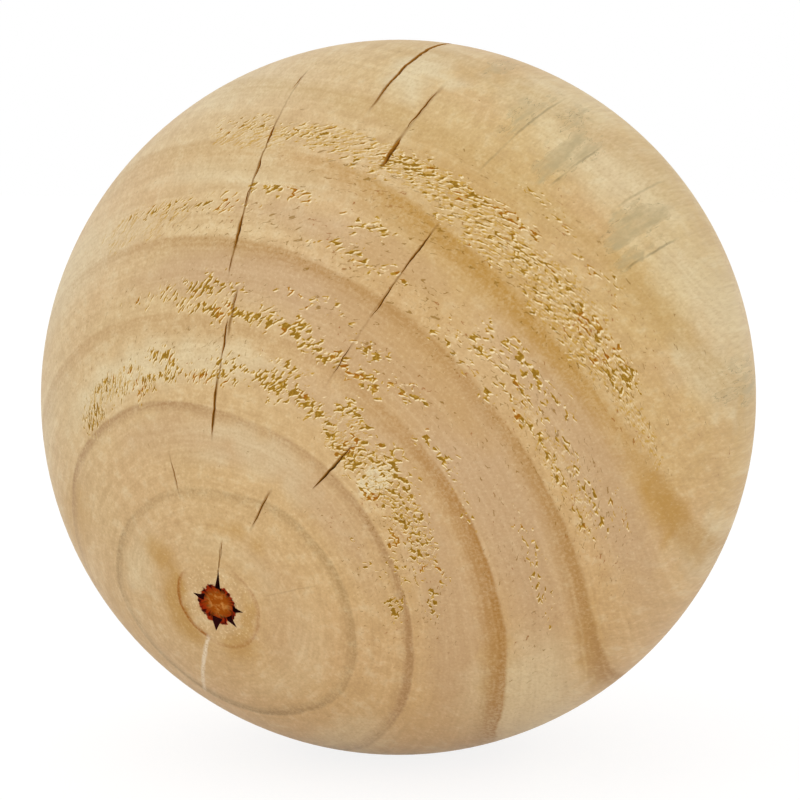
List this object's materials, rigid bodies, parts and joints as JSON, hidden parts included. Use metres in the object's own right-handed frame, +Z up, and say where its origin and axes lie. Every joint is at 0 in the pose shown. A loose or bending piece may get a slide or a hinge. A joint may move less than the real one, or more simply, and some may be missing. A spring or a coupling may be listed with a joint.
{
  "type": "wooden ball",
  "caption": "Solid turned softwood ball with wide growth rings, an off-centre pith and fine drying checks.",
  "frame": {"origin": "the ball's centre", "axes": "+Z up, +Y along the grain and the pith line, from the visible end of the pith to the hidden one"},
  "size_m": [0.1, 0.1, 0.1],
  "materials": {
    "wood": "bare turned softwood, matt"
  },
  "bodies": {
    "root": {"ball": "wood"}
  },
  "joints": []
}
